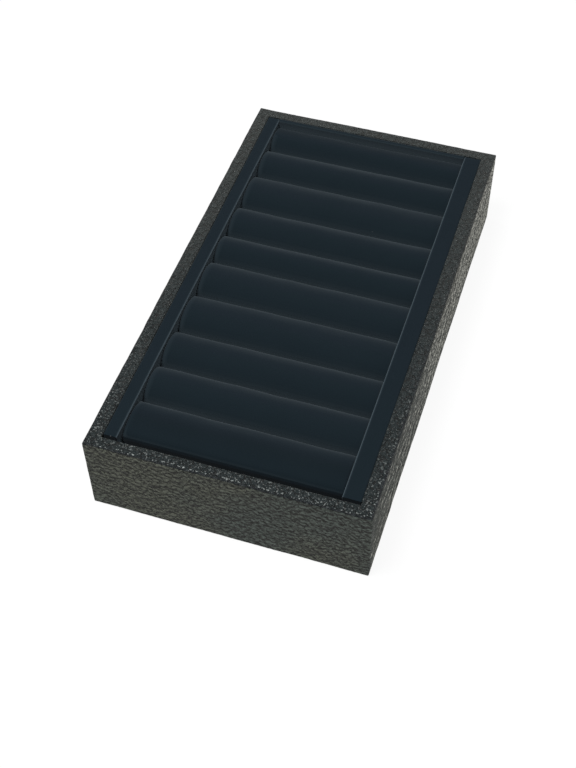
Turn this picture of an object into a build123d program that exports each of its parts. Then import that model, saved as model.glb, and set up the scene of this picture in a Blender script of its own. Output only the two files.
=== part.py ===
from build123d import *
from math import acos, asin, atan2, degrees, hypot
import os

# Ring display tray, in millimetres.
# X runs across the tray, Y along it from the near end to the far end, and Z up.
# The origin is on the table, under the middle of the tray.

# Case: board frame covered in leatherette
tray_width = 110.0
tray_length = 202.0
tray_height = 37.5
side_board = 4.6
end_board = 3.9
wrap_thickness = 0.6
edge_radius = 0.8
wrap_turn_in = 16.0
wrap_turn_under = 9.0
base_board_thickness = 3.6
base_rebate = 2.0
felt_thickness = 0.5
felt_margin = 2.5
felt_corner_radius = 3.0

# Ring pad that drops into the case
pad_side_clearance = 0.15
pad_near_clearance = 1.4
pad_far_clearance = 0.3
pad_below_rim = 0.2
pad_card_thickness = 2.0
velvet_thickness = 0.7
left_rail_width = 5.1
right_rail_width = 7.1
rail_edge_radius = 0.6
lining_card_thickness = 0.6

# Foam rolls, from the near end to the far end. The foam is cut to these widths and packed in
# side by side, so together they fill the room that the pad leaves them.
roll_widths = [19.4, 17.6, 18.2, 20.0, 19.1, 15.8, 17.6, 20.4, 17.5, 14.4]
roll_gap = 0.6
lining_gap = 0.3
near_slot = 3.3
crest_below_rail = 1.0
arch_rise = 6.2
shoulder_radius = 5.0
foot_draw_in = 0.7

# Places that follow from the sizes
board_bottom = felt_thickness + wrap_thickness
board_top = tray_height - wrap_thickness
hollow_width = tray_width - 2 * (side_board + wrap_thickness)
hollow_length = tray_length - 2 * (end_board + wrap_thickness)
cavity_width = hollow_width - 2 * wrap_thickness
cavity_length = hollow_length - 2 * wrap_thickness
floor_top = board_bottom + base_board_thickness

pad_width = cavity_width - 2 * pad_side_clearance
pad_near = -cavity_length / 2 + pad_near_clearance
pad_far = cavity_length / 2 - pad_far_clearance
card_top = floor_top + pad_card_thickness
rail_top = tray_height - pad_below_rim

rolls_left = -pad_width / 2 + left_rail_width
rolls_right = pad_width / 2 - right_rail_width
roll_length = rolls_right - rolls_left
lining_face = pad_far - lining_card_thickness - velvet_thickness
rolls_near = pad_near + near_slot
rolls_far = lining_face - lining_gap
crest = rail_top - crest_below_rail

os.makedirs("parts", exist_ok=True)


def block(x_low, x_high, y_low, y_high, z_low, z_high):
    """A square-cornered block between two corners."""
    size = (x_high - x_low, y_high - y_low, z_high - z_low)
    middle = ((x_low + x_high) / 2, (y_low + y_high) / 2, (z_low + z_high) / 2)
    return Pos(*middle) * Box(*size)


def centred_block(width, length, z_low, z_high):
    """A block in the middle of the tray."""
    return block(-width / 2, width / 2, -length / 2, length / 2, z_low, z_high)


def board_frame():
    """The four walls in one, before they are cut apart: a ring with a rebate for the base."""
    hollow = centred_block(hollow_width, hollow_length, board_bottom, board_top)
    return frame_block() - hollow - base_board()


def frame_block():
    """The room that the skin leaves for the boards, with square edges."""
    width = tray_width - 2 * wrap_thickness
    length = tray_length - 2 * wrap_thickness
    return centred_block(width, length, board_bottom, board_top)


def base_board():
    """The bottom of the case, let into the rebate of the walls on all four sides."""
    width = hollow_width + 2 * base_rebate
    length = hollow_length + 2 * base_rebate
    return centred_block(width, length, board_bottom, floor_top)


def wall_boards():
    """Two long walls that run the whole length, and two short ones butted between them."""
    frame = board_frame()
    x_in, x_out = hollow_width / 2, tray_width / 2
    y_in, y_out = hollow_length / 2, tray_length / 2
    left = frame & block(-x_out, -x_in, -y_out, y_out, 0, tray_height)
    right = frame & block(x_in, x_out, -y_out, y_out, 0, tray_height)
    near = frame & block(-x_in, x_in, -y_out, -y_in, 0, tray_height)
    far = frame & block(-x_in, x_in, y_in, y_out, 0, tray_height)
    return {
        "left_wall_board": left,
        "right_wall_board": right,
        "near_wall_board": near,
        "far_wall_board": far,
    }


def leatherette_wrap():
    """One skin over the frame: outside, over the rim, down inside and under the bottom edge.

    It is pulled round over the square edges of the boards.
    """
    block_outside = centred_block(tray_width, tray_length, felt_thickness, tray_height)
    outside = fillet(block_outside.edges(), edge_radius)
    mouth = centred_block(cavity_width, cavity_length, board_bottom, tray_height)
    under_width = tray_width - 2 * wrap_turn_under
    under_length = tray_length - 2 * wrap_turn_under
    bare_underside = centred_block(under_width, under_length, felt_thickness, board_bottom)
    return outside - frame_block() - mouth - bare_underside + turned_in_edge()


def turned_in_edge():
    """The edge of the skin that is turned down inside the case and glued to the walls."""
    low = board_top - wrap_turn_in
    back = centred_block(hollow_width, hollow_length, low, board_top)
    front = centred_block(cavity_width, cavity_length, low, board_top)
    return back - front


def underside_felt():
    """The felt sheet that the tray stands on, set in from the edges, with round corners."""
    width = tray_width - 2 * felt_margin
    length = tray_length - 2 * felt_margin
    sheet = centred_block(width, length, 0, felt_thickness)
    return fillet(sheet.edges().filter_by(Axis.Z), felt_corner_radius)


def pad_block(x_low, x_high, z_low, z_high):
    """A block that runs the whole length of the ring pad."""
    return block(x_low, x_high, pad_near, pad_far, z_low, z_high)


def rail_core(x_low, x_high):
    """The board strip inside a rail, drawn in by the velvet on the top, the sides and the ends."""
    low, high = x_low + velvet_thickness, x_high - velvet_thickness
    near, far = pad_near + velvet_thickness, pad_far - velvet_thickness
    return block(low, high, near, far, card_top, rail_top - velvet_thickness)


def rail_velvet(x_low, x_high):
    """The velvet over a rail: up its sides and ends and over the top, with soft edges there."""
    cover = pad_block(x_low, x_high, card_top, rail_top)
    top_edges = cover.faces().sort_by(Axis.Z)[-1].edges()
    return fillet(top_edges, rail_edge_radius) - rail_core(x_low, x_high)


def lining_card():
    """The thin card that stands against the far wall between the rails."""
    face, top = pad_far - lining_card_thickness, rail_top - velvet_thickness
    return block(rolls_left, rolls_right, face, pad_far, card_top, top)


def lining_velvet():
    """The velvet up the front of the far card and over its top edge."""
    cover = block(rolls_left, rolls_right, lining_face, pad_far, card_top, rail_top)
    front_top = cover.edges().filter_by(Axis.X).sort_by(Axis.Z)[-2:].sort_by(Axis.Y)[0]
    return fillet(front_top, velvet_thickness / 2) - lining_card()


def roll_section(y_middle, width, inset):
    """The outline of a roll drawn in by inset: a crown of three arcs on a stem that narrows.

    The small shoulder arcs are upright at the widest line. The radius of the arc between them is
    the one that makes the three meet at the crest. Below the widest line the sides leave the
    shoulders as tangents and end at the narrower foot on the card.
    """
    half = width / 2 - inset
    rise = arch_rise - inset
    small = shoulder_radius - inset
    foot = half - foot_draw_in
    widest = crest - arch_rise
    across = half - small
    large = (across**2 + rise**2 - small**2) / (2 * (rise - small))
    lean = degrees(asin(across / (large - small)))
    foot_out, foot_down = foot - across, card_top - widest
    start = degrees(atan2(foot_down, foot_out) + acos(small / hypot(foot_out, foot_down)))
    turn = 90 - lean - start
    with BuildSketch(Plane.YZ.offset((rolls_left + rolls_right) / 2)) as section:
        with BuildLine():
            right = CenterArc((y_middle + across, widest), small, start, turn)
            CenterArc((y_middle, widest + rise - large), large, 90 - lean, 2 * lean)
            left = CenterArc((y_middle - across, widest), small, 90 + lean, turn)
            foot_right = (y_middle + foot, card_top)
            foot_left = (y_middle - foot, card_top)
            Polyline(left @ 1, foot_left, foot_right, right @ 0)
        make_face()
    return section.sketch


def roll_core(y_middle, width):
    """The foam of a roll, cut square at both ends."""
    section = roll_section(y_middle, width, velvet_thickness)
    return extrude(section, amount=roll_length / 2 - velvet_thickness, both=True)


def roll_velvet(y_middle, width):
    """The velvet over a roll and down its ends, where the edge is drawn in over the foam."""
    solid = extrude(roll_section(y_middle, width, 0), amount=roll_length / 2, both=True)
    left_end = solid.faces().sort_by(Axis.X)[0].edges().sort_by(Axis.Z)
    right_end = solid.faces().sort_by(Axis.X)[-1].edges().sort_by(Axis.Z)
    above_foot = left_end[1:] + right_end[1:]
    return chamfer(above_foot, velvet_thickness) - roll_core(y_middle, width)


def roll_places():
    """The middle and the width of each roll, packed side by side between the two ends."""
    room = rolls_far - rolls_near - roll_gap * (len(roll_widths) - 1)
    squeeze = room / sum(roll_widths)
    places = []
    near = rolls_near
    for cut_width in roll_widths:
        width = cut_width * squeeze
        places.append((near + width / 2, width))
        near += width + roll_gap
    return places


def ring_rolls():
    """A foam core and a velvet cover, open underneath, for each roll."""
    rolls = {}
    for number, (y_middle, width) in enumerate(roll_places(), start=1):
        rolls[f"roll_foam_{number:02d}"] = roll_core(y_middle, width)
        rolls[f"roll_velvet_{number:02d}"] = roll_velvet(y_middle, width)
    return rolls


pad_side = pad_width / 2
pieces = {
    "base_board": base_board(),
    **wall_boards(),
    "leatherette_wrap": leatherette_wrap(),
    "underside_felt": underside_felt(),
    "pad_base_card": pad_block(-pad_side, pad_side, floor_top, card_top),
    "left_rail_core": rail_core(-pad_side, rolls_left),
    "left_rail_velvet": rail_velvet(-pad_side, rolls_left),
    "right_rail_core": rail_core(rolls_right, pad_side),
    "right_rail_velvet": rail_velvet(rolls_right, pad_side),
    "far_lining_card": lining_card(),
    "far_lining_velvet": lining_velvet(),
    **ring_rolls(),
}

for name, solid in pieces.items():
    export_step(solid, f"parts/{name}.step")
print("pieces", len(pieces), "crest", crest, "rolls from", rolls_left, "to", rolls_right)
for y_middle, width in roll_places():
    print("roll at", round(y_middle, 2), "width", round(width, 2))
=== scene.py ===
# %% [markdown]
# # A ring display tray, dressed for its portrait
# The tray is a board frame covered in dark grained leatherette. A loose pad lies in it: ten foam
# rolls in velvet, side by side between two flat velvet rails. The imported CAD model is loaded
# first, because it fixes where every piece is. Everything after that only gives the pieces
# their real surfaces.

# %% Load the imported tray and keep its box
from math import acos, asin, atan2, hypot, pi, radians
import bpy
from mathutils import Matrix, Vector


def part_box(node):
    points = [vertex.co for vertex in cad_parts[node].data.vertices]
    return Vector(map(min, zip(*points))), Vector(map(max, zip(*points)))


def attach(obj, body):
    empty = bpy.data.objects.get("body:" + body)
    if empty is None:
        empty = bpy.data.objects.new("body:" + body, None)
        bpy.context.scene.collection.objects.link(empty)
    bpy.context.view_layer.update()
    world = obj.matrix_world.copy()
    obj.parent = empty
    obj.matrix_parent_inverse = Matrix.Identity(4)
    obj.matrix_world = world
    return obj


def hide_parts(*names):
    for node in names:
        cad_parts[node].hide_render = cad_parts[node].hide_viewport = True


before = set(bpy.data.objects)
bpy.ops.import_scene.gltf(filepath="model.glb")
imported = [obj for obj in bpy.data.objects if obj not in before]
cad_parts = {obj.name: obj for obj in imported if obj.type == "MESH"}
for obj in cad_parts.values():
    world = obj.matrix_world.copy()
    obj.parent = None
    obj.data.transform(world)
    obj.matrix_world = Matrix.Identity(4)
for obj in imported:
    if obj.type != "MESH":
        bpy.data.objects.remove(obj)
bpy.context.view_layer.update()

from types import SimpleNamespace

import bpy
import numpy as np
from mathutils import Matrix

MM = 0.001
print("pieces in the CAD model:", len(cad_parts))

# %% [markdown]
# ## The camera
# The photograph looks down into the tray from the near end, a little from the right. The view was
# worked out from the tray's corners and outline, so the camera is placed by numbers and not by
# eye. It is turned round the upright axis, then tipped down, then rolled a little, in that
# order, which is how a tripod head moves.

# %% Place the camera
def placed(name, data):
    """A new object with these data, put into the scene."""
    made = bpy.data.objects.new(name, data)
    bpy.context.scene.collection.objects.link(made)
    return made


turn_right, look_down, roll_over = radians(18.655), radians(50.541), radians(-0.747)
camera_place = (0.106076, -0.342035, 0.409968)
lens = bpy.data.cameras.new("portrait_camera")
lens.lens = 59.974
lens.sensor_fit = "VERTICAL"
lens.sensor_height = 36
lens.clip_start = 0.01
camera = placed("portrait_camera", lens)
camera.matrix_world = (
    Matrix.Translation(camera_place)
    @ Matrix.Rotation(turn_right, 4, "Z")
    @ Matrix.Rotation(pi / 2 - look_down, 4, "X")
    @ Matrix.Rotation(roll_over, 4, "Z")
)
bpy.context.scene.camera = camera
bpy.context.scene.view_settings.view_transform = "Standard"
print("camera at", camera_place, "with a lens of", lens.lens, "mm")

# %% [markdown]
# ## Making nodes short to write
# A material in Blender is a graph of small nodes, and written out in full each takes five or six
# lines. One helper makes a node, sets its values and draws its links, so that a finish reads
# like a recipe: this texture goes into that ramp and out to the shader.

# %% A helper for nodes and one for finishes
def add(tree, kind, inputs=None, **settings):
    """One node. An input is given by its name or number, as a value or another node's output."""
    made = tree.nodes.new("ShaderNode" + kind)
    for key, value in settings.items():
        setattr(made, key, value)
    for key, value in (inputs or {}).items():
        if isinstance(value, bpy.types.NodeSocket):
            tree.links.new(value, made.inputs[key])
        else:
            made.inputs[key].default_value = value
    return made


def new_finish(name, **sockets):
    """A material with its main shader, whose even values are set on the shader's own sockets."""
    finish = bpy.data.materials.new(name)
    finish.use_nodes = True
    tree = finish.node_tree
    surface = tree.nodes["Principled BSDF"]
    for socket, value in sockets.items():
        surface.inputs[socket.replace("_", " ")].default_value = value
    return finish, tree, surface


def ramp(tree, value, low, high, to_low=0.0, to_high=1.0):
    """Turns the range from low to high into a smooth step from to_low to to_high."""
    inputs = {"Value": value, 1: low, 2: high, 3: to_low, 4: to_high}
    return add(tree, "MapRange", inputs, interpolation_type="SMOOTHSTEP").outputs[0]


def mix_colour(tree, share, first, second):
    """The second colour over the first one, by share."""
    return add(tree, "Mix", {0: share, 6: first, 7: second}, data_type="RGBA").outputs[2]


def maths(tree, what, first, second=0.0):
    """One sum on two numbers."""
    return add(tree, "Math", {0: first, 1: second}, operation=what).outputs[0]


def product(tree, first, *others):
    """All the values multiplied together."""
    for other in others:
        first = maths(tree, "MULTIPLY", first, other)
    return first


def vector_maths(tree, what, inputs):
    """One sum on vectors or colours."""
    return add(tree, "VectorMath", inputs, operation=what).outputs[0]


# %% Helpers for patterns
def noise(tree, vector, scale, detail=2.0):
    """Cloudy noise about one half, in blotches about as long as one metre over the scale."""
    made = add(tree, "TexNoise", {"Vector": vector, "Scale": scale, "Detail": detail})
    return made.outputs["Fac"]


def carried(tree, name):
    """A value that the mesh carries on its points, by the attribute's name."""
    return add(tree, "Attribute", attribute_name=name).outputs["Fac"]


def upward_part(tree, vector):
    """The third part of a place or a direction."""
    return add(tree, "SeparateXYZ", {0: vector}).outputs[2]


def flat_view(tree):
    """Nought where the surface is seen straight on, rising to one where it is seen edge on."""
    return add(tree, "LayerWeight", {"Blend": 0.5}).outputs["Facing"]


def bumped(tree, surface, height, strength, distance):
    """Makes the surface look as if it rose and fell with the height, by up to distance."""
    bump = {"Height": height, "Strength": strength, "Distance": distance}
    tree.links.new(add(tree, "Bump", bump).outputs[0], surface.inputs["Normal"])


print("pattern helpers are ready")

# %% [markdown]
# ## Floor, backdrop and lamps
# A catalogue picture stands on plain white. The white comes from the floor's own colour and from
# what the camera sees of the world, never from more light on the tray, because a dark object
# would turn grey. The light is a broad lamp overhead, a little to the front and the left, and an
# even white world round it. A second lamp, small and weak, stands behind and only makes the worn
# specks on the rims sparkle.

# %% Light the set
def picture_ray(tree):
    """One where a ray comes from the camera, a mirror image or glass, and else nought."""
    path = add(tree, "LightPath")
    seen = maths(tree, "MAXIMUM", path.outputs["Is Camera Ray"], path.outputs["Is Glossy Ray"])
    return maths(tree, "MAXIMUM", seen, path.outputs["Is Transmission Ray"])


ambient_strength = 0.36
world = bpy.data.worlds.new("white_studio")
bpy.context.scene.world = world
world.use_nodes = True
sky = world.node_tree.nodes["Background"]
sky.inputs["Color"].default_value = (1, 1, 1, 1)
sky_level = ramp(world.node_tree, picture_ray(world.node_tree), 0, 1, ambient_strength, 1.0)
world.node_tree.links.new(sky_level, sky.inputs["Strength"])


def soft_lamp(name, place, aim, side, watts):
    """A square lamp at place that faces aim."""
    lamp = bpy.data.lights.new(name, "AREA")
    lamp.shape = "SQUARE"
    lamp.size = side
    lamp.energy = watts
    away = np.array(place) - np.array(aim)
    turn = atan2(away[0], -away[1])
    tip = atan2(hypot(away[0], away[1]), away[2])
    placed(name, lamp).matrix_world = (
        Matrix.Translation(place) @ Matrix.Rotation(turn, 4, "Z") @ Matrix.Rotation(tip, 4, "X")
    )


tray_middle, near_rim_middle = (0, 0, 0.03), (0, -0.08, 0.03)
soft_lamp("overhead_lamp", (-0.20, -0.32, 1.22), tray_middle, 0.34, 15.5)
soft_lamp("glint_lamp", (-0.16, 0.16, 0.70), near_rim_middle, 0.05, 0.7)
print("world", ambient_strength, "a broad lamp overhead and a small one behind for the glints")

# %% Lay the floor
floor_size, floor_white, glow_share = 6.0, 0.93, 0.93
half_floor = floor_size / 2
corners = [(-1, -1), (1, -1), (1, 1), (-1, 1)]
floor_points = [(x * half_floor, y * half_floor, 0) for x, y in corners]
floor_mesh = bpy.data.meshes.new("studio_floor")
floor_mesh.from_pydata(floor_points, [], [(0, 1, 2, 3)])
floor = placed("studio_floor", floor_mesh)
floor_finish, tree, surface = new_finish(
    "white_floor", Roughness=0.9, Specular_IOR_Level=0.0,
    Base_Color=(floor_white, floor_white, floor_white, 1),
)
glow = add(tree, "Emission", {"Color": (1, 1, 1, 1), "Strength": 1.0})
share = maths(tree, "MULTIPLY", picture_ray(tree), glow_share)
both = add(tree, "MixShader", {0: share, 1: surface.outputs[0], 2: glow.outputs[0]})
tree.links.new(both.outputs[0], tree.nodes["Material Output"].inputs["Surface"])
floor_mesh.materials.append(floor_finish)
print("floor of", floor_size, "m")

# %% [markdown]
# ## The grained leatherette
# Leatherette is a thin plastic skin on a paper or cloth back. A hot roller presses the grain in:
# pebbles two to three millimetres long, parted by creases that break off before they close into
# a net. A bump map from an image would repeat, so the grain is worked out. Cell noise gives the
# pebbles, a slower noise sways them so that no two are alike, and a third noise breaks the
# creases. The rims lie flat and their grain is shallower and finer than on the walls.

# %% Leatherette: pebbles and creases
leatherette, tree, surface = new_finish("grained_leatherette", Specular_IOR_Level=0.2)
pebble_scale, sway_scale, sway_reach, sideways_share = 560.0, 420.0, 0.0022, 0.7
spot = add(tree, "TexCoord").outputs["Object"]
sway = add(tree, "TexNoise", {"Vector": spot, "Scale": sway_scale, "Detail": 2.0}).outputs["Color"]
sway = vector_maths(tree, "SUBTRACT", {0: sway, 1: (0.5, 0.5, 0.5)})
sway = vector_maths(tree, "SCALE", {0: sway, "Scale": sway_reach})
bent = vector_maths(tree, "ADD", {0: spot, 1: sway})
longer = {"Vector": bent, "Scale": (sideways_share, sideways_share, 1.0)}
drawn_out = add(tree, "Mapping", longer).outputs[0]
cells = {"Vector": drawn_out, "Scale": pebble_scale}
pebble = maths(tree, "POWER", add(tree, "TexVoronoi", cells).outputs["Distance"], 2.0)
edge = add(tree, "TexVoronoi", cells, feature="DISTANCE_TO_EDGE").outputs[0]
broken = ramp(tree, noise(tree, spot, 850.0, 1.0), 0.42, 0.54)
crease = product(tree, ramp(tree, edge, 0.13, 0.02), broken)
pebble_length = 1000 / pebble_scale / sideways_share
print("pebbles", round(pebble_length, 1), "by", round(1000 / pebble_scale, 1), "mm")

# %% Leatherette: relief
crease_depth, relief_reach = 0.35, 0.0011
fine = noise(tree, spot, 1500.0)
facing_up = upward_part(tree, add(tree, "NewGeometry").outputs["True Normal"])
rim_share = ramp(tree, facing_up, 0.3, 0.9)
pebble_depth = ramp(tree, rim_share, 0, 1, 1.0, 0.7)
fine_depth = ramp(tree, rim_share, 0, 1, 0.3, 0.9)
hollows = product(tree, pebble, pebble_depth)
hollows = maths(tree, "ADD", hollows, product(tree, crease, crease_depth))
skin_height = maths(tree, "SUBTRACT", product(tree, fine, fine_depth), hollows)
bumped(tree, surface, skin_height, 1.0, relief_reach)
print("relief of up to", relief_reach / MM, "mm")

# %% [markdown]
# ## The colour of the leatherette
# On the walls each pebble gets painted light on its upper side and painted shade on its lower
# side, as if lit from above. That is the difference between one noise taken a little higher up
# and the same noise taken a little lower down, which scales the colour from nothing to twice as
# bright. The walls are olive and grey in slow clouds. The rims are a darker, cooler black, which
# is painted shade on the faces that look up, and the darker creases are painted shade too. Two
# attributes of the skin say where it has pale specks, partly rubbed wear and partly painted
# glints, and where it is darker: a thin line along the rim's outer edge, and painted shade down
# the mouth. Plastic that is seen at a very flat angle reflects the white room, so there a painted
# reflection turns the colour milky, more so higher up the walls. Layer Weight says how flat it is.

# %% Leatherette: painted light and shade on the pebbles
relief_light_scale, relief_light_step, relief_light_range = 930.0, 0.00052, 0.16
places = [{0: drawn_out, 1: (0, 0, step)} for step in (relief_light_step, -relief_light_step)]
places = [vector_maths(tree, "ADD", place) for place in places]
higher, lower = (noise(tree, place, relief_light_scale, 1.0) for place in places)
on_walls = maths(tree, "SUBTRACT", 1.0, rim_share)
# painted light and shade: the upper side of each pebble is made lighter and the lower side darker,
# as if lit from above
lean = product(tree, maths(tree, "SUBTRACT", higher, lower), on_walls)
painted_relief_light_ends = {"Value": lean, 1: -relief_light_range, 2: relief_light_range, 3: 0.0, 4: 2.0}
painted_relief_light = add(tree, "MapRange", painted_relief_light_ends).outputs[0]
print("noise compared", 2 * relief_light_step / MM, "mm apart")

# %% Leatherette: colour, painted shade, pale specks and a dark line
olive, grey = (0.0385, 0.042, 0.032, 1), (0.0286, 0.0363, 0.032, 1)
shaded_rim_black = (0.0041, 0.0087, 0.0096, 1)
crease_shade_black, dark_line_and_shade_black = (0.002, 0.003, 0.003, 1), (0.004, 0.006, 0.008, 1)
speck_and_glint_grey = (0.34, 0.37, 0.36, 1)
cloud = noise(tree, spot, 20.0, 4.0)
skin_colour = mix_colour(tree, ramp(tree, cloud, 0.4, 0.6), olive, grey)
# painted shade: faces that look up get a darker, bluer black than the walls
skin_colour = mix_colour(tree, rim_share, skin_colour, shaded_rim_black)
# the painted light and shade of the pebbles scales the wall colour
skin_colour = vector_maths(tree, "SCALE", {0: skin_colour, "Scale": painted_relief_light})
# painted shade: the creases are darkened, where the bump casts no shade of its own
crease_shade_share = product(tree, crease, ramp(tree, rim_share, 0, 1, 0.55, 1.0))
skin_colour = mix_colour(tree, crease_shade_share, skin_colour, crease_shade_black)
# pale specks on the rims: partly rubbed wear, partly painted glints of the lamp
specks = ramp(tree, noise(tree, spot, 1300.0, 1.0), 0.58, 0.68)
specks_and_glints = product(tree, carried(tree, "wear_and_glints"), specks, 0.8)
skin_colour = mix_colour(tree, specks_and_glints, skin_colour, speck_and_glint_grey)
# a thin dark line along the rim's outer edge, and painted shade down the mouth, where hardly any
# light falls
dark_line_and_shade = carried(tree, "dark_line_and_shade")
skin_colour = mix_colour(tree, dark_line_and_shade, skin_colour, dark_line_and_shade_black)
print("walls", olive[:3], "rims", shaded_rim_black[:3])

# %% Leatherette: painted reflection at a flat angle, and gloss
painted_reflection_walls, painted_reflection_all = (0.58, 0.58, 0.515, 1), (0.16, 0.165, 0.14, 1)
slant = flat_view(tree)
# painted reflection: the colour turns paler where the skin is seen at a flat angle
skin_colour = mix_colour(tree, ramp(tree, slant, 0.2, 0.42, 0.0, 0.09), skin_colour, painted_reflection_all)
on_pebbles = product(tree, ramp(tree, skin_height, -0.3, 0.15, 0.35, 1.0), painted_relief_light)
clear_of_dark_and_rims = maths(tree, "SUBTRACT", 1.0, maths(tree, "MAXIMUM", dark_line_and_shade, rim_share))
# painted light: the painted reflection on the walls is stronger higher up
painted_light_by_height = ramp(tree, upward_part(tree, spot), 0.0, 0.036, 0.93, 1.2)
painted_reflection_share = product(tree, ramp(tree, slant, 0.886, 0.92), on_pebbles, clear_of_dark_and_rims, painted_light_by_height)
skin_colour = mix_colour(tree, painted_reflection_share, skin_colour, painted_reflection_walls)
tree.links.new(skin_colour, surface.inputs["Base Color"])
wall_roughness, rim_roughness = 0.75, ramp(tree, fine, 0.35, 0.65, 0.5, 0.2)
roughness = add(tree, "Mix", {0: rim_share, 2: wall_roughness, 3: rim_roughness}).outputs[0]
tree.links.new(roughness, surface.inputs["Roughness"])
print("leatherette has", len(tree.nodes), "nodes")

# %% [markdown]
# ## The velvet
# Velvet is a field of short upright threads. Looked at from above, light sinks between them and
# the cloth is nearly black. Seen along the slope, as on the far shoulder of each roll, the light
# catches the sides of the threads and a pale line appears. Layer Weight finds those places and
# mixes a pale blue into the colour there, a painted sheen, which a little real sheen softens.
# An attribute on each piece holds painted light and shade. Above nought it is painted light,
# paler from any side, where shade would fall deep in a slot or a pale outline should show. Below
# nought it is painted shade: it dims the painted sheen and darkens the colour, and at minus one
# it is almost black. Slow noise stands for places where a finger has stroked the pile, and a few
# specks of lint lie on top.

# %% Velvet: pile
velvet, tree, surface = new_finish(
    "midnight_velvet", Roughness=0.95, Specular_IOR_Level=0.05,
    Sheen_Weight=0.08, Sheen_Roughness=0.5, Sheen_Tint=(0.75, 0.88, 1.0, 1),
)
deep_blue, sheen_paler_blue = (0.0065, 0.0117, 0.0155, 1), (0.0067, 0.0115, 0.0159, 1)
pile_gap = (0.004, 0.008, 0.011, 1)
spot = add(tree, "TexCoord").outputs["Object"]
stroked, pile = noise(tree, spot, 45.0, 3.0), noise(tree, spot, 2600.0)
slope = flat_view(tree)
# painted sheen: a slightly paler blue where the cloth is seen at a flat angle
pile_colour = mix_colour(tree, ramp(tree, slope, 0.19, 0.27), deep_blue, sheen_paler_blue)
pile_colour = mix_colour(tree, ramp(tree, stroked, 0.3, 0.7, 0.0, 0.12), pile_colour, pile_gap)
pile_colour = mix_colour(tree, ramp(tree, pile, 0.35, 0.7, 0.0, 0.25), pile_colour, pile_gap)
bumped(tree, surface, pile, 0.35, 0.0002)
print("velvet with a sheen of", surface.inputs["Sheen Weight"].default_value)

# %% Velvet: painted sheen, painted light and shade, and lint
painted_sheen_blue, painted_light_blue = (0.022, 0.0295, 0.034, 1), (0.115, 0.154, 0.18, 1)
painted_shade_black, lint_grey = (0.001, 0.002, 0.003, 1), (0.12, 0.13, 0.13, 1)
painted_light_and_shade = carried(tree, "painted_light_and_shade")
# painted sheen: a pale blue mixed in where the cloth is seen along its slope
slope_share = add(tree, "MapRange", {"Value": slope, 1: 0.33, 2: 1.0}).outputs[0]
painted_sheen = maths(tree, "POWER", slope_share, 1.5)
painted_sheen = product(tree, painted_sheen, ramp(tree, painted_light_and_shade, -0.6, 0.0, 0.2, 1.0))
pile_colour = mix_colour(tree, painted_sheen, pile_colour, painted_sheen_blue)
# painted light: the colour turns paler where the attribute is above nought
pile_colour = mix_colour(tree, painted_light_and_shade, pile_colour, painted_light_blue)
# painted shade: below nought the colour darkens, almost to black at minus one
slight_painted_shade, deep_painted_shade = ramp(tree, painted_light_and_shade, 0.0, -0.3, 0.0, 0.2), ramp(tree, painted_light_and_shade, -0.7, -1.0)
painted_shade = maths(tree, "MAXIMUM", deep_painted_shade, slight_painted_shade)
pile_colour = mix_colour(tree, painted_shade, pile_colour, painted_shade_black)
lint_cell = add(tree, "TexVoronoi", {"Vector": spot, "Scale": 130.0})
lint_here = ramp(tree, lint_cell.outputs["Distance"], 0.045, 0.025)
lint_draw = add(tree, "SeparateColor", {0: lint_cell.outputs["Color"]}).outputs[0]
lint = product(tree, lint_here, ramp(tree, lint_draw, 0.93, 0.94), 0.5)
pile_colour = mix_colour(tree, lint, pile_colour, lint_grey)
tree.links.new(pile_colour, surface.inputs["Base Color"])
print("velvet has", len(tree.nodes), "nodes")

# %% [markdown]
# ## The finishes that are mostly hidden
# Boards, card, foam and felt show when the pad is lifted out or the tray is turned over. The
# boards are pressed fibre: a brown ground with short pale and dark fibres. The card is grey
# recycled board whose top gets a dark velvet colour, painted shade, so that the narrow slot at
# the near end stays dark. Foam shows its open cells and felt its tangled hairs.

# %% Fibre board, card, foam and felt
def fibrous(name, first, second, fibre, fibre_scale, stretch, roughness, depth, fleck):
    """A ground of two clouded colours under fibres, which are noise drawn out along one
    direction, and dark flecks."""
    finish, tree, surface = new_finish(name, Roughness=roughness, Specular_IOR_Level=0.2)
    spot = add(tree, "TexCoord").outputs["Object"]
    along = add(tree, "Mapping", {"Vector": spot, "Scale": stretch}).outputs[0]
    cloud, hairs = noise(tree, spot, 90.0, 4.0), noise(tree, along, fibre_scale, 4.0)
    ground = mix_colour(tree, ramp(tree, cloud, 0.3, 0.7), first, second)
    ground = mix_colour(tree, ramp(tree, hairs, 0.5, 0.72), ground, fibre)
    cell = add(tree, "TexVoronoi", {"Vector": spot, "Scale": 420.0}).outputs["Distance"]
    ground = mix_colour(tree, ramp(tree, cell, 0.2, 0.08, 0.0, 0.8), ground, fleck)
    tree.links.new(ground, surface.inputs["Base Color"])
    bumped(tree, surface, hairs, 0.5, depth)
    return finish, tree, surface


board = fibrous(
    "fibre_board", (0.30, 0.205, 0.13, 1), (0.36, 0.26, 0.17, 1), (0.46, 0.36, 0.26, 1),
    900.0, (1.0, 1.0, 3.0), 0.85, 0.00015, (0.16, 0.10, 0.06, 1),
)[0]
card, tree, surface = fibrous(
    "card_with_shaded_top", (0.25, 0.24, 0.23, 1), (0.32, 0.31, 0.29, 1), (0.42, 0.41, 0.39, 1),
    1100.0, (1.0, 1.0, 1.0), 0.9, 0.0001, (0.12, 0.12, 0.13, 1),
)
card_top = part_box("pad_base_card")[1].z
height = upward_part(tree, add(tree, "TexCoord").outputs["Object"])
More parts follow.
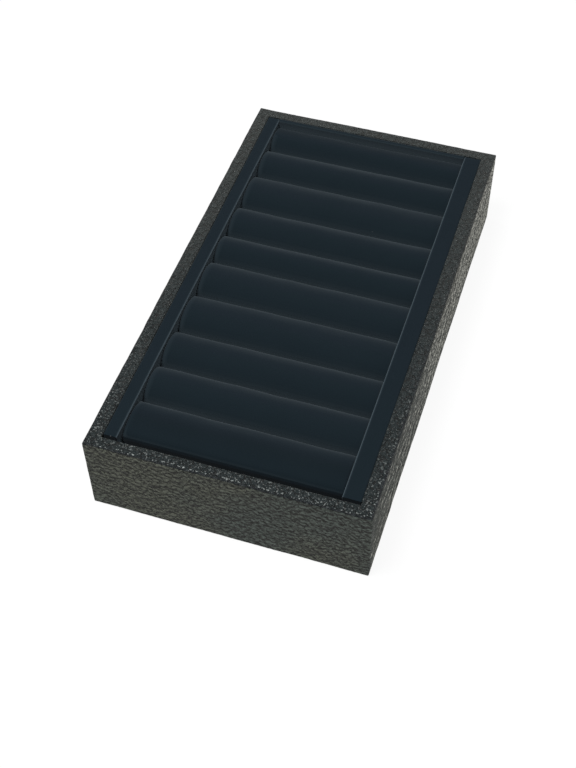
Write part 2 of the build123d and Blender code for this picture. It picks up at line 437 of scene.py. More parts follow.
# painted shade: the card's top is coloured dark like the velvet
shaded_top = ramp(tree, height, card_top - 0.3 * MM, card_top - 0.1 * MM)
grey_board = surface.inputs["Base Color"].links[0].from_socket
card_with_shaded_top = mix_colour(tree, shaded_top, grey_board, (0.008, 0.013, 0.017, 1))
tree.links.new(card_with_shaded_top, surface.inputs["Base Color"])
felt = fibrous(
    "black_felt", (0.012, 0.0125, 0.013, 1), (0.02, 0.0205, 0.021, 1), (0.04, 0.041, 0.042, 1),
    1500.0, (1.0, 0.5, 1.0), 1.0, 0.0003, (0.006, 0.006, 0.007, 1),
)[0]
foam = fibrous(
    "open_cell_foam", (0.17, 0.17, 0.175, 1), (0.22, 0.22, 0.225, 1), (0.3, 0.3, 0.3, 1),
    1400.0, (1.0, 1.0, 1.0), 0.95, 0.0003, (0.05, 0.05, 0.055, 1),
)[0]
print("hidden finishes:", [f.name for f in (board, card, felt, foam)])

# %% [markdown]
# ## Surfaces from arrays
# Every new piece below is a grid of points worked out at once with numpy. One helper turns a
# grid's rows and columns into four-sided faces, one puts the arrays into a mesh and looks whether
# the faces point outwards, and one hands the piece to the frame. The test is the signed volume:
# the sum over all faces of the face's middle times its area vector. It is negative when the
# shape is inside out.

# %% Helpers for grids
def grid_faces(rows, columns, close_rows=False):
    """Faces between neighbouring rows and columns. The last column joins the first one again,
    and so does the last row if it is asked for."""
    row = np.arange(rows if close_rows else rows - 1)[:, None]
    column = np.arange(columns)[None, :]
    next_row, next_column = (row + 1) % rows, (column + 1) % columns
    corners = [(row, column), (next_row, column), (next_row, next_column), (row, next_column)]
    quads = [np.broadcast_to(r * columns + c, (row.size, column.size)) for r, c in corners]
    return np.stack(quads, -1).reshape(-1, 4)


def fan_faces(centre, ring):
    """Triangles from one point to a closed ring of points."""
    return np.stack([np.full(ring.size, centre), ring, np.roll(ring, -1)], -1)


def signed_volume(points, faces):
    """A third of the sum over the faces of their middle times their area vector, which is half
    the cross product of a quad's diagonals, or of two sides of a triangle."""
    corner = points[faces]
    first = corner[:, 2] - corner[:, 0]
    second = corner[:, 3] - corner[:, 1] if faces.shape[1] == 4 else corner[:, 0] - corner[:, 1]
    area = np.cross(first, second) / 2
    return float((corner.mean(1) * area).sum() / 3)


def new_mesh(name, points, face_sets):
    """A mesh from one array of points and any number of arrays of faces, turned outwards."""
    if sum(signed_volume(points, faces) for faces in face_sets) < 0:
        face_sets = [faces[:, ::-1] for faces in face_sets]
    mesh = bpy.data.meshes.new(name)
    mesh.from_pydata(points.tolist(), [], [f for faces in face_sets for f in faces.tolist()])
    return mesh


def new_mesh_piece(name, points, face_sets, finish, body, stands_for, marks=None):
    """A piece from arrays, with a finish, a body, its CAD nodes and its attributes."""
    mesh = new_mesh(name, points, face_sets)
    mesh.polygons.foreach_set("use_smooth", np.ones(len(mesh.polygons), bool))
    for mark, values in (marks or {}).items():
        layer = mesh.attributes.new(mark, "FLOAT", "POINT")
        layer.data.foreach_set("value", np.ascontiguousarray(values, np.float32).ravel())
    mesh.materials.append(finish)
    piece = placed(name, mesh)
    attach(piece, body)
    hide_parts(*stands_for)
    return piece


def waves(points, length, height, seed, count=14):
    """Slow unevenness: sine waves in random directions, about length long, added up so that
    they are usually about as high as height."""
    draw = np.random.default_rng(seed)
    heading = draw.normal(size=(count, 3))
    heading /= np.linalg.norm(heading, axis=1, keepdims=True)
    stretch = draw.uniform(0.7, 1.4, count)
    phase = draw.uniform(0, 2 * pi, count)
    angle = points @ (heading * (2 * pi / length * stretch)[:, None]).T + phase
    return height * np.sin(angle).sum(-1) * (2 / count) ** 0.5


print("grid helpers are ready")

# %% [markdown]
# ## The leatherette skin
# On the real tray strips of leatherette are glued round the frame: up the outside, over the rim,
# down inside and under the bottom edge. The skin is one closed shell here: a profile with a
# thickness is carried round the frame's outline. The outline is a rectangle whose corners are
# rounded by as much as the profile's point lies outside the rounding, so the outer corner is
# round and the inner one is sharp, as where a skin is pulled over a board. The points are closest
# where the picture shows the skin.

# %% The profile of the skin
skin_low, skin_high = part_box("leatherette_wrap")
bottom, top = skin_low.z, skin_high.z
skin_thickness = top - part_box("left_wall_board")[1].z
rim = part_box("left_wall_board")[1].x - skin_low.x + skin_thickness
end_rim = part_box("near_wall_board")[1].y - skin_low.y + skin_thickness
board_low, board_high = bottom + skin_thickness, top - skin_thickness
outer_edge, low_edge, mouth_edge = 0.5 * MM, 0.3 * MM, 0.2 * MM
turned_in_edge, turned_under = board_high - 16.0 * MM, 9.0 * MM
skin_step = 0.78 * MM
hidden_step = 4 * skin_step


def line(start, end, step):
    """Points from start up to but not including end, about step apart."""
    start, end = np.array(start), np.array(end)
    count = max(1, round(float(np.linalg.norm(end - start)) / step))
    return start + (end - start) * (np.arange(count) / count)[:, None]


def quarter(centre, radius, first, count):
    """Points on a quarter circle that starts at the angle first, without its end."""
    angle = first + pi / 2 * np.arange(count) / count
    return np.array(centre) + radius * np.stack([np.cos(angle), np.sin(angle)], -1)


# Each point is (how far inside the outer face, height). The shown half runs up the mouth, over
# the rim, down the outside and under the bottom. The hidden half runs back along the boards.
shown_profile = np.concatenate([
    line((rim, turned_in_edge), (rim, top - mouth_edge), 1.6 * skin_step),
    quarter((rim - mouth_edge, top - mouth_edge), mouth_edge, 0, 3),
    line((rim - mouth_edge, top), (outer_edge, top), 0.8 * skin_step),
    quarter((outer_edge, top - outer_edge), outer_edge, pi / 2, 5),
    line((0, top - outer_edge), (0, bottom + low_edge), skin_step),
    quarter((low_edge, bottom + low_edge), low_edge, pi, 3),
    line((low_edge, bottom), (turned_under, bottom), hidden_step),
])
board_side, inner_side = skin_thickness, rim - skin_thickness
hidden_corners = [
    (turned_under, bottom), (turned_under, board_low), (board_side, board_low),
    (board_side, board_high), (inner_side, board_high), (inner_side, turned_in_edge),
    (rim, turned_in_edge),
]
hidden_profile = np.concatenate([
    line(start, end, hidden_step) for start, end in zip(hidden_corners, hidden_corners[1:])
])
skin_profile = np.concatenate([shown_profile, hidden_profile])
side_marks, end_marks = (
    [0, skin_thickness, wide - skin_thickness, wide, turned_under] for wide in (rim, end_rim)
)
end_depth = np.interp(skin_profile[:, 0], side_marks, end_marks)
print("rims", round(rim / MM, 2), "and", round(end_rim / MM, 2), "mm,", len(skin_profile), "rows")

# %% The path round the frame
half_width, half_length = skin_high.x, skin_high.y


def frame_path(half_a, half_b, step, arc_count=5):
    """Round a rectangle, as two arrays: which corner centre, from -1 to 1 each way, and the
    direction outwards. A point of the path is the centre's share of the half sides, plus the
    corner radius times the direction. On the straight sides the centre slides from one corner
    to the next while the direction stands still."""
    corners = np.array([(1, 1), (-1, 1), (-1, -1), (1, -1)], float)
    centres, quarters = [], []
    for number, corner in enumerate(corners):
        count = round(2 * (half_a if number % 2 == 0 else half_b) / step)
        share = (np.arange(count) / count)[:, None]
        centres.append(np.repeat(corner[None], arc_count, 0))
        centres.append(corner * (1 - share) + corners[(number + 1) % 4] * share)
        quarters += [number + np.arange(arc_count) / arc_count, np.full(count, number + 1)]
    angle = pi / 2 * np.concatenate(quarters)
    return np.concatenate(centres), np.stack([np.cos(angle), np.sin(angle)], -1)


centre_share, outwards = frame_path(half_width, half_length, skin_step)
print(len(outwards), "columns round the frame")

# %% [markdown]
# ## The skin's unevenness, wear, painted glints and painted shade
# Real leatherette is never quite flat, because the boards and the glue under it are not. Three
# sets of slow waves push the shown half of the skin in by a tenth of a millimetre or so, and
# never out, so that the tray keeps its size. One attribute is largest just inside the rim's outer
# edge and towards the near end. It puts pale specks in the colour, which are partly rubbed wear
# and partly painted glints of the lamp. The other is a thin dark line along that edge, and it
# paints shade down the mouth, where hardly any light falls.

# %% The skin's points
depth = np.stack([skin_profile[:, 0], end_depth], -1)[:, None, :]
height = skin_profile[:, 1, None, None]
corner_radius = np.maximum(outer_edge - depth, 0.02 * MM)
half_sides = np.array([half_width, half_length])
flat = centre_share * (half_sides - depth - corner_radius) + corner_radius * outwards
skin_points = np.concatenate([flat, np.broadcast_to(height, flat.shape[:2] + (1,))], -1)
along = np.roll(skin_profile, -1, 0) - np.roll(skin_profile, 1, 0)
along /= np.linalg.norm(along, axis=1, keepdims=True)
sideways = -along[:, 1, None, None] * outwards
upwards = np.broadcast_to(-along[:, 0, None, None], flat.shape[:2] + (1,))
skin_normals = np.concatenate([sideways, upwards], -1)
number = np.arange(len(skin_profile))
shown = (number > 0) & (number < len(shown_profile))
flat_points = skin_points.reshape(-1, 3)
uneven = waves(flat_points, 45 * MM, 0.045 * MM, 1) + waves(flat_points, 8 * MM, 0.016 * MM, 2)
uneven += waves(flat_points, 2.4 * MM, 0.014 * MM, 3) - 0.07 * MM
uneven = np.minimum(uneven, 0).reshape(flat.shape[:2]) * shown[:, None]
skin_points = skin_points + skin_normals * uneven[..., None]
print("skin waves of up to", round(float(-uneven.min()) / MM, 2), "mm")

# %% The skin's wear, painted glints, dark line and painted shade
speck_place, speck_width, speck_reach, near_corner = 1.1 * MM, 0.9 * MM, 30 * MM, 4 * MM
dark_line_place, dark_line_width, flat_top = 0.3 * MM, 0.45 * MM, 0.1 * MM
inwards, downwards = skin_profile[:, 0], top - skin_profile[:, 1]
# pale specks, partly rubbed wear and partly painted glints, most just inside the outer edge and
# towards the near end
rim_specks = 0.35 + 0.65 * np.exp(-((inwards - speck_place) / speck_width) ** 2)
rim_specks = rim_specks * (downwards < flat_top) * shown
in_corner = np.minimum(np.abs(outwards[:, 0]), np.abs(outwards[:, 1])) > 0.05
corner_wear = 0.6 * in_corner[None, :] * (inwards < outer_edge)[:, None]
from_near_end = np.maximum(skin_points[..., 1] + half_length - near_corner, 0)
near_end_share = 0.15 + 0.85 * np.exp(-from_near_end / speck_reach)
wear_and_glints = np.maximum(rim_specks[:, None] * near_end_share, 0.3 * corner_wear)
dark_line_and_shade = 0.95 * np.exp(-((inwards - downwards - dark_line_place) / dark_line_width) ** 2) * shown
# painted shade: the mouth below the rim's top is made dark, where hardly any light falls
dark_line_and_shade = np.maximum(dark_line_and_shade, 0.9 * (downwards > flat_top) * (inwards > outer_edge))
dark_line_and_shade = dark_line_and_shade[:, None] * (1 - corner_wear)
skin = new_mesh_piece(
    "leatherette_skin", skin_points.reshape(-1, 3), [grid_faces(*flat.shape[:2], close_rows=True)],
    leatherette, "case", ["leatherette_wrap"], {"wear_and_glints": wear_and_glints, "dark_line_and_shade": dark_line_and_shade},
)
print("skin:", len(skin.data.polygons), "faces")

# %% [markdown]
# ## Bars of velvet: rails, far lining and rolls
# Everything else that shows is velvet pulled over a long bar and glued underneath. One function
# serves for all: an outline of arcs joined by straight lines is carried along the bar, and near
# each end it is drawn in on a quarter circle, so the cloth turns softly over the edge and down.
# The end itself is closed by rings that shrink to a point. Cloth has a thickness and is open
# underneath, where it is glued, so the faces of the foot are left out and a Solidify modifier
# gives the wall, inwards only.

# %% Outlines of the bars
cap_rows = 4


def arc_points(centre, radius, start, end, count=24):
    """Points and outward directions on one arc."""
    angle = np.linspace(start, end, count)
    out = np.stack([np.cos(angle), np.sin(angle)], -1)
    return np.array(centre) + radius * out, out


def bar_outline(arcs, foot_right, foot_left, step):
    """An outline from the right foot over the arcs to the left foot and back along the bottom,
    with points at even distances. A point is found by its share of the length so far. Its
    outward direction goes with it, and along the bottom it only points sideways. The number
    of steps above the foot comes last."""
    parts = [arc_points(*arc) for arc in arcs]
    points = np.concatenate([[foot_right], *[p for p, _ in parts], [foot_left]])
    out = np.concatenate([parts[0][1][:1], *[o for _, o in parts], parts[-1][1][-1:]])
    length = np.concatenate([[0], np.cumsum(np.linalg.norm(np.diff(points, axis=0), axis=1))])
    over = max(8, round(float(length[-1]) / step))
    place = np.linspace(0, length[-1], over + 1)
    above = [
        np.stack([np.interp(place, length, column) for column in array.T], -1)
        for array in (points, out)
    ]
    under = max(2, round(float(np.linalg.norm(np.subtract(foot_right, foot_left))) / step))
    share = (np.arange(1, under) / under)[:, None]
    bottom_points = np.array(foot_left) * (1 - share) + np.array(foot_right) * share
    bottom_out = np.concatenate([2 * share - 1, np.zeros_like(share)], -1)
    above[1][[0, -1], 1] = 0
    above, out = (np.concatenate(pair) for pair in zip(above, (bottom_points, bottom_out)))
    return above, out, over


def bar_points(outline, out, low, high, round_off, step):
    """The outline carried from low to high. Near an end it is drawn in by the round-off times
    one minus the cosine of the angle and set back by the sine, and then it shrinks in rings to
    a point. Gives rows of (along, across, height) and how far each row is drawn in."""
    turn = np.linspace(0, pi / 2, 5)
    start = low + round_off * (1 - np.sin(turn[::-1]))
    middle = np.linspace(low + round_off, high - round_off, round((high - low) / step))[1:-1]
    along = np.concatenate([start, middle, (low + high) - start[::-1]])
    drawn = round_off * (1 - np.cos(turn[::-1]))
    inset = np.concatenate([drawn, np.zeros(middle.size), drawn[::-1]])
    along, inset = (np.pad(values, cap_rows, "edge") for values in (along, inset))
    rows = outline[None] - inset[:, None, None] * out[None]
    centre = (rows[0].min(0) + rows[0].max(0)) / 2
    number = np.arange(len(rows))
    shrink = np.maximum(cap_rows - number, number - number[-1 - cap_rows]).clip(0)
    rows += (centre - rows) * (shrink / (cap_rows + 1))[:, None, None]
    along = np.broadcast_to(along[:, None, None], rows.shape[:2] + (1,))
    return np.concatenate([along, rows], -1), inset, centre


def closed_bar(arcs, feet, outline_step, low, high, round_off, step):
    """A whole bar: the number of steps above the foot, the quads by rows, a fan of triangles for
    each end, and all of them. The other arrays have an entry for each point, with the two end
    middles last: place, outward direction, the outline's height, row, and how far drawn in."""
    outline, out, over = bar_outline(arcs, *feet, outline_step)
    rows, inset, centre = bar_points(outline, out, low, high, round_off, step)
    count, columns = rows.shape[:2]
    faces = grid_faces(count, columns).reshape(count - 1, columns, 4)
    first, last = np.arange(columns), np.arange((count - 1) * columns, count * columns)
    fans = [fan_faces(last[-1] + 1, first), fan_faces(last[-1] + 2, last[::-1])]
    return SimpleNamespace(
        over=over, faces=faces, fans=fans, every_face=[faces.reshape(-1, 4), *fans],
        points=np.concatenate([rows.reshape(-1, 3), [[low, *centre], [high, *centre]]]),
        out=np.concatenate([np.tile(out, (count, 1)), np.zeros((2, 2))]),
        level=np.concatenate([np.tile(outline[:, 1], count), [centre[1]] * 2]),
        row=np.concatenate([np.repeat(np.arange(count), columns), [0, count - 1]]),
        inset=np.concatenate([np.repeat(inset, columns), [round_off] * 2]),
    )


print("bar helpers are ready")

# %% Cloth from a bar
def velvet_cover(name, bar, painted_light_and_shade, node):
    """A cover from a bar, with a wall inwards. It is open at the foot, whose faces are the last
    columns of every row but those of the two end caps."""
    sides = bar.faces[cap_rows:-cap_rows, : bar.over]
    parts = bar.faces[:cap_rows], sides, bar.faces[-cap_rows:]
    faces = [np.concatenate([part.reshape(-1, 4) for part in parts]), *bar.fans]
    cover = new_mesh_piece(
        name, bar.points, faces, velvet, "pad", [node], {"painted_light_and_shade": painted_light_and_shade}
    )
    thicken = cover.modifiers.new("cloth_thickness", "SOLIDIFY")
    thicken.thickness = cloth_wall
    thicken.offset = -1
    return cover


velvet_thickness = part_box("left_rail_velvet")[1].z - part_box("left_rail_core")[1].z
cloth_wall = velvet_thickness - 0.1 * MM
print("the cloth's wall is", round(cloth_wall / MM, 2), "mm")

# %% [markdown]
# ## The two rails
# A rail is a strip of board with velvet glued over it, so it is flat on top and only its edges
# are soft. The velvet's light-and-shade attribute gives a thin pale line along the inner top
# edge, and painted light that grows down the inner side, where the gap beside the rolls is in
# deep shade. On the flat top it is nought. At the near end painted shade makes the last rows
# almost black, where the narrow gap at the near wall is in shade.

# %% The rails
rail_edge, wall_edge, wall_fill, far_fill = 0.6 * MM, 0.25 * MM, 0.1 * MM, 0.25 * MM
rail_step, outline_step, near_end_rows = 1.1 * MM, 0.4 * MM, 7
edge_pale_line, side_painted_light, side_painted_light_more, side_reach = 0.42, 0.25, 0.5, 4 * MM
for side in ("left", "right"):
    low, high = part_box(f"{side}_rail_velvet")
    left = side == "left"
    right_edge, left_edge = (rail_edge, wall_edge) if left else (wall_edge, rail_edge)
    x_low, x_high = (low.x - wall_fill, high.x) if left else (low.x, high.x + wall_fill)
    arcs = [
        ((x_high - right_edge, high.z - right_edge), right_edge, 0, pi / 2),
        ((x_low + left_edge, high.z - left_edge), left_edge, pi / 2, pi),
    ]
    feet = (x_high, low.z), (x_low, low.z)
    bar = closed_bar(arcs, feet, outline_step, low.y, high.y + far_fill, wall_edge, rail_step)
    inner = np.clip(bar.out[:, 0] if left else -bar.out[:, 0], 0, 1)
    on_top = np.clip(bar.out[:, 1], 0, 1)
    down_side = np.clip((high.z - rail_edge - bar.level) / side_reach, 0, 1)
    painted_light_and_shade = edge_pale_line * (2 * inner * np.abs(bar.out[:, 1])) ** 3
    # painted light grows down the inner side, where the gap beside the rolls is in shade
    painted_light_and_shade = np.maximum(painted_light_and_shade, (side_painted_light + side_painted_light_more * down_side) * inner)
    # painted shade: the rail's near end is made almost black
    painted_light_and_shade[bar.row < near_end_rows] = -1
    bar.points[:, :2] = bar.points[:, 1::-1]
    soft = waves(bar.points, 22 * MM, 0.05 * MM, 11) + waves(bar.points, 5 * MM, 0.02 * MM, 12)
    bar.points[:, 2] += np.minimum(soft - 0.06 * MM, 0) * on_top
    cover = velvet_cover(f"{side}_rail_cover", bar, painted_light_and_shade, f"{side}_rail_velvet")
    print(cover.name, len(cover.data.polygons), "faces")

# %% [markdown]
# ## The far lining
# Thin card stands against the far wall between the rails, covered in the same velvet. It is the
# same bar, only thin, and its front edge is the soft one. Its front gets a little painted light,
# and more further down, where the gap behind the last roll is in shade.

# %% The far lining
front_edge, back_edge, top_fill, end_gap = 0.45 * MM, 0.1 * MM, 0.1 * MM, 0.1 * MM
front_painted_light, front_painted_light_more, front_reach = 0.11, 0.3, 5 * MM
low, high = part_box("far_lining_velvet")
back, lining_top = high.y + far_fill, high.z + top_fill
arcs = [
    ((back - back_edge, lining_top - back_edge), back_edge, 0, pi / 2),
    ((low.y + front_edge, lining_top - front_edge), front_edge, pi / 2, pi),
]
feet = (back, low.z), (low.y, low.z)
x_low, x_high = low.x + end_gap, high.x - end_gap
bar = closed_bar(arcs, feet, outline_step, x_low, x_high, 0.3 * MM, rail_step)
down_front = np.clip((high.z - bar.level) / front_reach, 0, 1)
# painted light on the front, growing downwards where shade falls
painted_light_and_shade = np.clip(-bar.out[:, 0], 0, 1) * (front_painted_light + front_painted_light_more * down_front)
soft = np.minimum(waves(bar.points, 18 * MM, 0.05 * MM, 13) - 0.05 * MM, 0)
bar.points[:, 2] += soft * (bar.points[:, 2] > high.z - 2 * MM)
cover = velvet_cover("far_lining_cover", bar, painted_light_and_shade, "far_lining_velvet")
print(cover.name, len(cover.data.polygons), "faces")

# %% [markdown]
# ## The ten foam rolls
# Each roll is a strip of foam with a rounded crown, wrapped in velvet and glued by its foot. On
# each side the crown is a tight shoulder and half of a slow crest, two arcs that meet as
# tangents. The first roll is fuller on its near side and the last one on its far side, where no
# other roll presses on it.
#
# A stiff tube would look like plastic, so the cover is cut a little small and blown up as cloth,
# with its foot held. The foam behind keeps it from sinking in, and a cap on the movement stands
# for the neighbours that hold it.

# %% The outline of a roll
plain_side, foot_draw_in = (6.2 * MM, 5.0 * MM), 0.7 * MM
roll_names = sorted(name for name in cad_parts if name.startswith("roll_velvet_"))
roll_low, roll_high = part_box("roll_velvet_01")
crest, foot_line = roll_high.z, roll_low.z


def roll_arcs(middle, width, inset=0.0, near=plain_side, far=plain_side):
    """A shoulder and half a crest for each side, as arcs that meet as tangents, and the two feet,
    all drawn in by inset. Near and far are the rise and the shoulder radius on that side."""
    half = width / 2 - inset
    arcs, feet = [], []
    for side, (rise, small) in ((1, far), (-1, near)):
        side_widest, rise, small = crest - rise, rise - inset, small - inset
        across = half - small
        large = (across**2 + rise**2 - small**2) / (2 * (rise - small))
        lean = asin(across / (large - small))
        foot = half - foot_draw_in
        down = foot_line - side_widest
        start = atan2(down, foot - across) + acos(small / hypot(foot - across, down))
        angles = [(start, pi / 2 - lean), (pi / 2 - lean, pi / 2)]
        if side == -1:
            angles = [(pi - last, pi - first) for first, last in angles]
        low_arc = ((middle + side * across, side_widest), small, *angles[0])
        top_arc = ((middle, side_widest + rise - large), large, *angles[1])
        arcs += [low_arc, top_arc][::side]
        feet.append((middle + side * foot, foot_line))
    return arcs, feet


print("rolls:", len(roll_names), "with the crest at", round(crest / MM, 1), "mm")

# %% Blowing up a cover
air_cap = 0.2 * MM
cloth_settings = {
    "quality": 6, "mass": 0.15, "tension_stiffness": 25, "compression_stiffness": 25,
    "bending_stiffness": 0.4, "use_pressure": True, "uniform_pressure_force": 4.0,
    "vertex_group_mass": "glued",
}


def swell(blanks, bars, cap, frames=20):
    """Runs cloth with air pressure on every blank at once, with the points at the foot pinned,
    and moves the bars' points to where they are at the end. A move is capped softly: cap times
    the hyperbolic tangent of the move over the cap. Cloth can't sink into the foam behind it,
    so the part of a move against the outward direction is taken away first."""
    scene = bpy.context.scene
    for blank, bar in zip(blanks, bars):
        group = blank.vertex_groups.new(name="glued")
        group.add(np.flatnonzero(bar.pinned).tolist(), 1.0, "REPLACE")
        cloth = blank.modifiers.new("air", "CLOTH")
        for key, value in cloth_settings.items():
            setattr(cloth.settings, key, value)
        cloth.settings.effector_weights.gravity = 0
        cloth.collision_settings.use_collision = False
        cloth.point_cache.frame_start, cloth.point_cache.frame_end = 1, frames
    for number in range(1, frames + 1):
        scene.frame_set(number)
    graph = bpy.context.evaluated_depsgraph_get()
    for blank, bar in zip(blanks, bars):
        rest, blown = (np.empty(len(blank.data.vertices) * 3) for _ in range(2))
        blank.data.vertices.foreach_get("co", rest)
        blank.evaluated_get(graph).data.vertices.foreach_get("co", blown)
        move = (blown - rest).reshape(-1, 3)
        move[:, 1:] -= np.minimum((move[:, 1:] * bar.out).sum(-1, keepdims=True), 0) * bar.out
        far = np.linalg.norm(move, axis=1, keepdims=True)
        print(blank.name, "moved by a mean of", round(float(far.mean()) / MM, 2), "mm")
        bar.points = rest.reshape(-1, 3) + move * cap * np.tanh(far / cap) / np.maximum(far, 1e-9)
    scene.frame_set(1)


print("a cover may swell by", round(air_cap / MM, 2), "mm")

# %% Cutting the covers
roll_step, end_round, foot_height, cut_small = 1.7 * MM, 0.9 * MM, 0.05 * MM, 0.06 * MM
first_near_side, last_far_side = (3.4 * MM, 2.0 * MM), (3.2 * MM, 1.9 * MM)
blanks, bars = [], []
for name in roll_names:
    low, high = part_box(name)
    near = first_near_side if name == roll_names[0] else plain_side
    far = last_far_side if name == roll_names[-1] else plain_side
    outline_parts = roll_arcs((low.y + high.y) / 2, high.y - low.y, cut_small, near, far)
    x_low, x_high = low.x + end_gap, high.x - end_gap
    bar = closed_bar(*outline_parts, roll_step, x_low, x_high, end_round, roll_step)
    bar.pinned = bar.points[:, 2] < foot_line + foot_height
    bars.append(bar)
    blanks.append(placed("blank_" + name, new_mesh("blank_" + name, bar.points, bar.every_face)))
print("covers cut:", len(bars))

swell(blanks, bars, air_cap)
for blank in blanks:
    mesh = blank.data
    bpy.data.objects.remove(blank)
    bpy.data.meshes.remove(mesh)
print("covers filled:", len(bars))

# %% [markdown]
# ## Painted light and shade on a roll
# The near side of a roll looks at the viewer from deep in the slot, where shade falls, so it gets
# painted light. So do the ends, where the cloth is drawn round the foam beside the shaded gap at
# the rail, and a narrow band beside the left end gives a painted pale outline. The first roll is
# different: the low part of its near side drops into the open slot and gets painted shade, and
# its top gets a little painted shade too. On the far side of the last roll the painted sheen is
# weakened and the colour a little darker.

# %% The painted light and shade of a roll
near_painted_light, first_near_painted_light, first_shade_from, first_top_shade = 0.32, 0.23, 0.6, 0.3
end_painted_light, end_painted_light_more, band_painted_light, band_painted_light_more, last_far_sheen_cut = 0.14, 0.6, 0.04, 0.12, 0.5
band_place, band_width = roll_low.x + 1.2 * MM, 0.8 * MM


def roll_painted_light(name, bar):
    """The painted light and shade at each point. A side's steepness is one less the upward part of
    its outward direction, so it is nought on the crest and one where the side is upright."""
    steep = np.clip(1 - bar.out[:, 1], 0, 1)
    near_steep = steep * (bar.out[:, 0] < 0)
    end_share = np.clip(bar.inset / end_round, 0, 1)
    band = np.exp(-((bar.points[:, 0] - band_place) / band_width) ** 2)
    if name == roll_names[0]:
        # painted light on the first roll's near side, above the shaded part
        above_slot = np.clip((first_shade_from + 0.02 - near_steep) / 0.1, 0, 1)
        painted_light_and_shade = first_near_painted_light * near_steep**2 * above_slot
        # painted shade: the lowest part of the first roll's near side is made almost black
        painted_light_and_shade -= np.clip((near_steep - first_shade_from) / 0.2, 0, 1)
    else:
        # painted light on the near side, deep in the slot where shade falls
        painted_light_and_shade = near_painted_light * near_steep**2.5
    shade = np.minimum(painted_light_and_shade, 0)
    # painted light on the ends, beside the shaded gap at the rail
    painted_light_and_shade = np.maximum(painted_light_and_shade, end_share * (end_painted_light + end_painted_light_more * near_steep))
    # a painted pale outline beside the left end
    painted_light_and_shade = np.maximum(painted_light_and_shade, band * (band_painted_light + band_painted_light_more * steep)) + shade
    if name == roll_names[0]:
        # painted shade on the first roll's top
        near_crest = np.clip(1 - 2.5 * np.abs(bar.out[:, 0]), 0, 1)
        painted_light_and_shade -= first_top_shade * near_crest * (1 - np.maximum(band, end_share))
    if name == roll_names[-1]:
        # the painted sheen is weakened and the colour darkened a little on the last roll's far
        # side
        painted_light_and_shade -= last_far_sheen_cut * np.clip(3 * bar.out[:, 0], 0, 1)
    return painted_light_and_shade


print("nap helper is ready")

# %% The covers of the rolls
for seed, (name, bar) in enumerate(zip(roll_names, bars), 21):
    points = bar.points
    height = np.clip((points[:, 2] - foot_line) / (crest - foot_line), 0, 1)
    soft = waves(points, 24 * MM, 0.07 * MM, seed) + waves(points, 7 * MM, 0.025 * MM, seed + 20)
    points[:, 1:] += bar.out * (soft * height)[:, None]
    cover = velvet_cover(name.replace("velvet", "cover"), bar, roll_painted_light(name, bar), name)
    smooth = cover.modifiers.new("soft_surface", "SUBSURF")
    smooth.levels = smooth.render_levels = 1
print("rolls covered:", len(bars))

# %% [markdown]
# ## The foam inside
# The foam has the same crown, smaller by the cloth, and is cut square. It shows only if a cover
# is taken off, but it gives the roll its body, so it is a closed piece with its own finish.

# %% The foam cores
foam_gap, foam_step, foam_round, row_step = 0.3 * MM, 2.2 * MM, 0.2 * MM, 3 * MM
for name in sorted(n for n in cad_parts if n.startswith("roll_foam_")):
    low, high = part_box(name)
    velvet_low, velvet_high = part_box(name.replace("foam", "velvet"))
    width = velvet_high.y - velvet_low.y
    outline_parts = roll_arcs((low.y + high.y) / 2, width, velvet_thickness + foam_gap)
    x_low, x_high = low.x + foam_gap, high.x - foam_gap
    bar = closed_bar(*outline_parts, foam_step, x_low, x_high, foam_round, row_step)
    above_foot = bar.points[:, 2] > foot_line + 1 * MM
    bar.points[:, 1] += waves(bar.points, 6 * MM, 0.03 * MM, 41) * above_foot
    core_name = name.replace("foam", "foam_core")
    core = new_mesh_piece(core_name, bar.points, bar.every_face, foam, "pad", [name])
print("foam cores are in")

# %% [markdown]
# ## The felt under the tray
# A sheet of felt with round corners is glued under the base, so that the tray doesn't scratch a
# counter. Each row across it is as wide as the rounded corner allows: the half width less the
# corner radius, plus the radius times the cosine, where the row lies inside the corner.

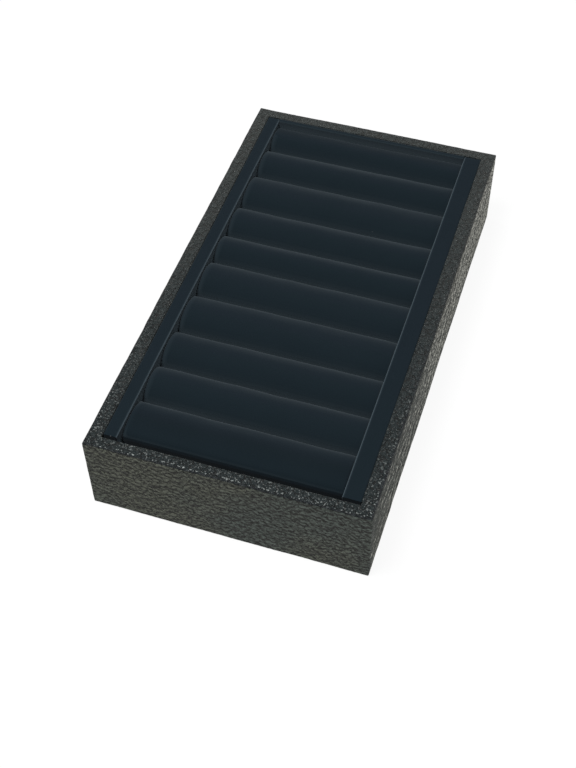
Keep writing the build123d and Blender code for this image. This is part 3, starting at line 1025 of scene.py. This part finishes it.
# %% The felt sheet
felt_low, felt_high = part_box("underside_felt")
felt_corner, felt_step = 3.0 * MM, 2.5 * MM
half_a, half_b = felt_high.x, felt_high.y
turn = np.linspace(0, pi / 2, 7)
inside = np.linspace(-(half_b - felt_corner), half_b - felt_corner, round(2 * half_b / felt_step))
corner_y = half_b - felt_corner + felt_corner * np.sin(turn[1:])
corner_half = half_a - felt_corner + felt_corner * np.cos(turn[1:])
row_y = np.concatenate([-corner_y[::-1], inside, corner_y])
row_half = np.concatenate([corner_half[::-1], np.full(inside.size, half_a), corner_half])
across = np.linspace(-1, 1, round(2 * half_a / felt_step) + 1)
ring_x = np.concatenate([across, across[::-1]])
ring_z = np.concatenate([np.full(across.size, felt_high.z), np.full(across.size, felt_low.z)])
felt_points = np.stack(np.broadcast_arrays(ring_x * row_half[:, None], row_y[:, None], ring_z), -1)
hairy = waves(felt_points.reshape(-1, 3), 9 * MM, 0.02 * MM, 51).reshape(felt_points.shape[:2])
felt_points[..., 2] += np.where(ring_z > felt_low.z, 0, 1) * np.maximum(hairy + 0.02 * MM, 0)
columns = ring_x.size
first = np.arange(across.size - 1)
ladder = np.stack([first, first + 1, columns - 2 - first, columns - 1 - first], -1)
end_row = (row_y.size - 1) * columns
felt_sheet = new_mesh_piece(
    "felt_sheet", felt_points.reshape(-1, 3),
    [grid_faces(row_y.size, columns), ladder, ladder[:, ::-1] + end_row],
    felt, "case", ["underside_felt"],
)
felt_bevel = felt_sheet.modifiers.new("cut_edge", "BEVEL")
felt_bevel.width, felt_bevel.segments, felt_bevel.angle_limit = 0.15 * MM, 2, radians(50)
print("felt", round(2 * half_a / MM), "x", round(2 * half_b / MM), "mm")

# %% [markdown]
# ## The boards and the card
# These are plain cut boards, and their CAD shapes are right as they are. Each keeps its own mesh
# and only gets a finish.

# %% Finishes for the boards and the card
boards = [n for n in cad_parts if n.endswith("_board") or n.endswith("_core")]
for name in boards + ["far_lining_card", "pad_base_card"]:
    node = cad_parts[name]
    node.data.materials.clear()
    node.data.materials.append(board if name in boards else card)
print("boards and cards finished:", len(boards) + 2)
